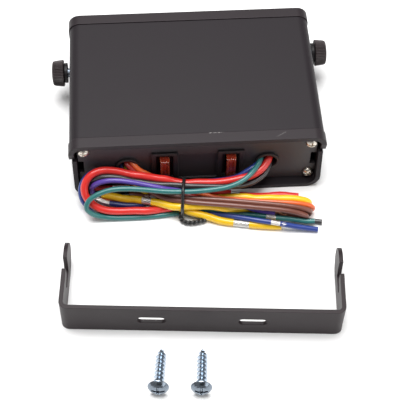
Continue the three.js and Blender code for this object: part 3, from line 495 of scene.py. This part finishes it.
def moulded(name, colour, rough=0.5, grain=0.30, depth=0.02, edge_wear_and_highlight=0.25, edge=0.45, shine=0.42):
    """Black plastic or paint: fine grain, a cloudy sheen and paler edges, which are partly real wear and
    partly a painted highlight.
    """
    made, tree, face = finish(name, {"Specular IOR Level": shine})
    place = node(tree, "TexCoord").outputs["Object"]
    fine = noise(tree, place, 1000.0 / grain, 2.0)
    cloud = noise(tree, place, 38.0, 4.0)
    rounded, turn = edge_turn(tree, edge)
    tint = mixed(tree, cloud, [0.86 * part for part in colour], [1.14 * part for part in colour])
    # Painted highlight with wear: edges are painted up to 3.2 times paler, partly for rubbed wear and partly
    # standing in for the light that edges catch.
    rim = spread(tree, turn, 0.995, 0.8, 0.0, edge_wear_and_highlight)
    worn_and_highlit_edges = mixed(tree, rim, tint, [3.2 * part for part in colour])
    sheen = spread(tree, cloud, 0.0, 1.0, rough - 0.05, rough + 0.07)
    dress(tree, face, worn_and_highlit_edges, sheen, 0.6, depth, fine, rounded)
    return made


def refinish(material, *nodes):
    for name in nodes:
        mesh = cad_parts[name].data
        mesh.materials.clear()
        mesh.materials.append(material)


case_black = moulded("case_black", (0.0100, 0.0064, 0.0092), rough=0.56, shine=0.34)
hood_black = moulded("hood_black", (0.0162, 0.0108, 0.0136), rough=0.50, grain=0.5, depth=0.008, edge_wear_and_highlight=0.5,
                      shine=0.36)


def reckon(tree, how, first, second=None):
    """One sum in a material: how it is reckoned, and its one or two values."""
    sum_node = node(tree, "Math", {0: first} if second is None else {0: first, 1: second}, operation=how)
    return sum_node.outputs["Value"]


def scuff(material, x0, x1, y0, y1, colour, amount):
    """A pale rubbed streak on the upper face, between two ends."""
    tree = material.node_tree
    face = tree.nodes["Principled BSDF"]
    under = face.inputs["Base Color"].links[0].from_socket
    place = node(tree, "TexCoord").outputs["Object"]
    part = node(tree, "SeparateXYZ", {"Vector": place})
    run = spread(tree, part.outputs["X"], x0 * MM, x1 * MM)
    line = spread(tree, run, 0.0, 1.0, y0 * MM, y1 * MM)
    wide = reckon(tree, "ABSOLUTE", reckon(tree, "SUBTRACT", part.outputs["Y"], line))
    near = spread(tree, wide, 0.1 * MM, 0.5 * MM, 1.0, 0.0)
    inside = spread(tree, reckon(tree, "PINGPONG", run, 0.5), 0.02, 0.2)
    flecks = spread(tree, noise(tree, place, 1500.0, 2.0), 0.42, 0.60, 0.0, amount)
    mask = reckon(tree, "MULTIPLY", reckon(tree, "MULTIPLY", near, inside), flecks)
    tree.links.new(mixed(tree, mask, under, colour), face.inputs["Base Color"])


scuff(hood_black, 5.0, 13.6, -39.5, -39.3, (0.45, 0.43, 0.42), 0.9)
scuff(hood_black, 39.0, 45.5, -44.0, -40.4, (0.16, 0.15, 0.15), 0.6)
refinish(case_black, "upper_cover", "lower_tray")
refinish(hood_black, "rear_hood", "front_bezel")


# --- Panels, grommets and fuse sockets -----------------------------------------------------
# Satin black mouldings: the plate between tray and hood, the rings that line the two wire
# holes, and the raised frames that the fuses push into.
panel_black = moulded("panel_black", (0.042, 0.035, 0.038), rough=0.42, grain=0.6, depth=0.008)
socket_black = moulded("socket_black", (0.022, 0.019, 0.020), rough=0.40, grain=0.8, depth=0.006)
refinish(panel_black, "rear_panel", "front_panel")
refinish(socket_black, "left_fuse_socket", "right_fuse_socket", "left_grommet", "right_grommet")


# --- Fuses --------------------------------------------------------------------------------
# Blade fuses: a clear orange-red plastic body, with a shallow tray in its face, about a zinc
# strip whose thin bridge melts.
fuse_metal = plated("fuse_metal", (0.80, 0.78, 0.74), 0.22)
fuse_amber, amber_tree, amber_face = finish("fuse_amber", {
    "Alpha": 0.62, "Coat Weight": 0.8, "Coat Roughness": 0.06, "Specular IOR Level": 0.6})
amber_place = node(amber_tree, "TexCoord").outputs["Object"]
amber_cloud = noise(amber_tree, amber_place, 900.0, 3.0)
amber_round, amber_turn = edge_turn(amber_tree, 0.35)
amber_body = mixed(amber_tree, amber_cloud, (0.16, 0.010, 0.005), (0.46, 0.050, 0.018))
# Painted highlight: the fuse body's edges are painted bright orange, standing in for the light that its clear
# edges catch.
amber_rim_highlight = spread(amber_tree, amber_turn, 0.99, 0.75)
amber_with_rim_highlight = mixed(amber_tree, amber_rim_highlight, amber_body, (1.0, 0.36, 0.16))
amber_sheen = spread(amber_tree, amber_cloud, 0.0, 1.0, 0.10, 0.26)
dress(amber_tree, amber_face, amber_with_rim_highlight, amber_sheen, 0.4, 0.05, amber_cloud, amber_round)


def solid(name, bm, material, smooth=40):
    bmesh.ops.remove_doubles(bm, verts=bm.verts, dist=0.001)
    bmesh.ops.recalc_face_normals(bm, faces=bm.faces)
    bmesh.ops.scale(bm, vec=(MM, MM, MM), verts=bm.verts)
    mesh = bpy.data.meshes.new(name)
    bm.to_mesh(mesh)
    bm.free()
    mesh.materials.append(material)
    mesh.shade_smooth()
    mesh.set_sharp_from_angle(angle=math.radians(smooth))
    return link_object(name, mesh)


FUSE_SIZE = (4.8, 12.3, 19.0)
FUSE_MID = (-41.55, 15.8)
FUSE_EDGE, FUSE_RIM, FUSE_TRAY = 0.45, 0.45, 0.5
for side, x in (("left", -FUSE_X), ("right", FUSE_X)):
    bm = bmesh.new()
    bmesh.ops.create_cube(bm, size=1)
    bmesh.ops.scale(bm, vec=FUSE_SIZE, verts=bm.verts)
    long_edges = [e for e in bm.edges if abs(e.verts[0].co.y - e.verts[1].co.y) < 1]
    bmesh.ops.bevel(bm, geom=long_edges, offset=FUSE_EDGE, segments=3, affect="EDGES", profile=0.5,
                    material=-1)
    bm.normal_update()
    outer = [f for f in bm.faces if f.normal.y < -0.99]
    bmesh.ops.inset_region(bm, faces=outer, thickness=FUSE_RIM)
    tray = bmesh.ops.extrude_face_region(bm, geom=outer)
    bmesh.ops.delete(bm, geom=outer, context="FACES_ONLY")
    tray_points = [v for v in tray["geom"] if isinstance(v, bmesh.types.BMVert)]
    bmesh.ops.translate(bm, vec=(0, FUSE_TRAY, 0), verts=tray_points)
    bmesh.ops.translate(bm, vec=(x, *FUSE_MID), verts=bm.verts)
    body = solid(side + "_fuse_case", bm, fuse_amber)
    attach(body, "unit")
    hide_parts(side + "_fuse_body")
refinish(fuse_metal, "left_fuse_element", "right_fuse_element")


# --- Screws -------------------------------------------------------------------------------
# Nickel-plated pan-head screws hold each corner of each panel. The two loose ones for the
# bracket are zinc-plated, with a wide low head and a coarse thread rolled about the core.
nickel = plated("nickel", (0.76, 0.70, 0.62), 0.26)
# The zinc wood screws get a painted shade in their thread roots.
zinc = plated("zinc", (0.52, 0.61, 0.72), 0.24, hollow_shade=0.85)


def turned(bm, profile, steps):
    """Spins a line of (radius, height) points round Z."""
    line = [bm.verts.new((radius, 0, height)) for radius, height in profile]
    edges = [bm.edges.new(pair) for pair in zip(line, line[1:])]
    bmesh.ops.spin(bm, geom=line + edges, cent=(0, 0, 0), axis=(0, 0, 1), angle=math.tau, steps=steps,
                   use_merge=True)
    bmesh.ops.remove_doubles(bm, verts=bm.verts, dist=0.0005)


def cross_screw(head, shank, reach, arm, deep):
    """A headed screw on Z, its head upward, with a cross recess pressed into the head."""
    bm = bmesh.new()
    fine = [head[0]]
    for (r0, h0), (r1, h1) in zip(head, head[1:]):
        count = max(1, int(math.hypot(r1 - r0, h1 - h0) / 0.11))
        fine += [(r0 + (r1 - r0) * k / count, h0 + (h1 - h0) * k / count) for k in range(1, count + 1)]
    turned(bm, fine + shank, 96)
    for v in bm.verts:
        along_arm, off_arm = max(abs(v.co.x), abs(v.co.y)), min(abs(v.co.x), abs(v.co.y))
        inside = min(1, max(0, (arm - off_arm) / 0.10)) * min(1, max(0, (reach - along_arm) / 0.14))
        if v.co.z > 0.2:
            v.co.z -= inside * deep * (1.15 - 0.55 * along_arm / reach)
    return bm


PANEL_HEAD = [(0, 1.95), (1.0, 1.9), (1.9, 1.66), (2.55, 1.18), (2.9, 0.55), (3.0, 0.0)]
PANEL_SHANK = [(1.4, 0), (1.4, -6.8), (0.7, -8), (0, -8)]
SCREW_X, SCREW_Y, SCREW_LOW, SCREW_HIGH = 58, 43.2, 6.9, 31
for end, facing in (("rear", -1), ("front", 1)):
    for side, x in (("left", -SCREW_X), ("right", SCREW_X)):
        for level, z in (("low", SCREW_LOW), ("high", SCREW_HIGH)):
            bm = cross_screw(PANEL_HEAD, PANEL_SHANK, 1.75, 0.36, 1.0)
            spin_on = Matrix.Rotation(math.radians(23 + 31 * (x + z) % 90), 4, "Z")
            stand = Matrix.Rotation(math.radians(-90 * facing), 4, "X")
            bmesh.ops.transform(bm, verts=bm.verts,
                                matrix=Matrix.Translation((x, facing * SCREW_Y, z)) @ stand @ spin_on)
            screw = solid(f"{end}_pan_screw_{side}_{level}", bm, nickel)
            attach(screw, "unit")
            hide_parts(f"{end}_screw_{side}_{level}")

LOOSE_HEAD = [(0, 3.1), (1.6, 2.95), (2.9, 2.5), (3.9, 1.85), (4.7, 0.95), (5.05, 0.4), (5.1, 0.12),
              (4.95, 0.0)]
LOOSE_SHANK = [(1.6, 0), (1.45, -1), (1.45, -18.2), (1.0, -20.2), (0.35, -21.6), (0, -22)]
THREAD = [(1.25, 0, -0.9), (2.5, 0, -1.7), (2.5, 0, -1.95), (1.25, 0, -2.7)]
PITCH, TURNS, POINT_FROM, POINT_LONG, LEAN = 2.3, 8.3, -17.6, 4.4, 8.6
for side, x, y, turn in (("left", -25.4, -162.6, -6.5), ("right", -5.4, -163.9, -5.1)):
    bm = cross_screw(LOOSE_HEAD, LOOSE_SHANK, 3.1, 0.66, 2.0)
    profile = bm.faces.new([bm.verts.new(at) for at in THREAD])
    bmesh.ops.spin(bm, geom=[profile], cent=(0, 0, 0), axis=(0, 0, 1), dvec=(0, 0, -PITCH / 24),
                   angle=TURNS * math.tau, steps=int(24 * TURNS))
    for v in bm.verts:
        if v.co.z < POINT_FROM and math.hypot(v.co.x, v.co.y) > 1.2:
            keep = 1 - 0.80 * min(1, (POINT_FROM - v.co.z) / POINT_LONG)
            v.co.x *= keep
            v.co.y *= keep
    node_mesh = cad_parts["loose_screw_" + side].data
    low = min(v.co.z for v in node_mesh.vertices) / MM
    lay = Matrix.Rotation(math.radians(turn), 4, "Z") @ Matrix.Rotation(math.radians(90 - LEAN), 4, "X")
    bmesh.ops.transform(bm, verts=bm.verts, matrix=lay)
    bmesh.ops.translate(bm, vec=(x, y, low - min(v.co.z for v in bm.verts)), verts=bm.verts)
    screw = solid("wood_screw_" + side, bm, zinc)
    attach(screw, "screw_" + side)
    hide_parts("loose_screw_" + side)


# --- Thumb screws ---------------------------------------------------------------------------
# Black nylon knobs moulded on steel studs: a slight taper and dome, and fifty fine ridges
# to grip. A nylon washer sits under each.
knob_black = moulded("knob_black", (0.045, 0.035, 0.036), rough=0.45, grain=0.5, depth=0.01,
                     edge=0.2, shine=0.5)
washer_black = moulded("washer_black", (0.010, 0.009, 0.010), rough=0.45, grain=0.5, depth=0.006,
                       shine=0.25)
stud_zinc = plated("stud_zinc", (0.20, 0.23, 0.27), 0.34)
RIDGES, RIDGE_DEEP, KNOB_FACE, KNOB_Z, STUD_HOLE = 50, 0.65, 68.9, 19, 1.0
KNOB_SHAPE = [(2.6, 0.0), (6.9, 0.0), (7.25, 0.3), (7.1, 1.6), (6.95, 3.0), (6.8, 4.3), (6.6, 5.3),
              (6.3, 5.8), (5.7, 6.1), (4.4, 6.35), (2.0, 6.65), (0, 6.75)]
for side, facing, y in (("left", -1, 21.2), ("right", 1, 29.0)):
    bm = bmesh.new()
    turned(bm, [(0, STUD_HOLE), (2.6, STUD_HOLE), *KNOB_SHAPE], RIDGES * 4)
    for v in bm.verts:
        radius = math.hypot(v.co.x, v.co.y)
        if radius > 5.6:
            groove = 0.5 - 0.5 * math.cos(RIDGES * math.atan2(v.co.y, v.co.x))
            shrink = 1 - RIDGE_DEEP * groove / radius
            v.co.x *= shrink
            v.co.y *= shrink
    stand = Matrix.Rotation(math.radians(90 * facing), 4, "Y")
    bmesh.ops.transform(bm, verts=bm.verts,
                        matrix=Matrix.Translation((facing * KNOB_FACE, y, KNOB_Z)) @ stand)
    knob = solid(side + "_ridged_knob", bm, knob_black, 30)
    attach(knob, side + "_thumb_screw")
    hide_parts(side + "_knob")
    refinish(stud_zinc, side + "_track_nut", side + "_stud")
    refinish(washer_black, side + "_washer")


# --- Bracket --------------------------------------------------------------------------------
# Black powder-coated steel strip bent to a U. It hooks over the two knobs' studs, and two
# screws go through its slots into the dashboard.
bracket_paint = moulded("bracket_paint", (0.0175, 0.0112, 0.0132), rough=0.46, grain=0.45,
                        depth=0.05, edge_wear_and_highlight=0.5, shine=0.29)
refinish(bracket_paint, "mounting_bracket")


# --- Inside and front controls ----------------------------------------------------------------
# A glass-fibre board with its parts and an aluminium heat sink, and the front end's knob,
# lever and button in black plastic with a dark red display window.
board_green = moulded("board_green", (0.02, 0.12, 0.05), rough=0.35)
part_black = moulded("part_black", (0.02, 0.02, 0.02), rough=0.4)
aluminium = plated("aluminium", (0.75, 0.76, 0.78), 0.35)
refinish(board_green, "circuit_board")
refinish(aluminium, "heat_sink", "gain_shaft", "gain_pot")
refinish(part_black, "power_transistor", "relay", "capacitor", "microcontroller", "display_module",
         "gain_knob", "lever_switch", "override_lever", "mode_button", "button_switch")
lens_red = moulded("lens_red", (0.05, 0.008, 0.008), rough=0.12)
refinish(lens_red, "display_lens", "status_led")
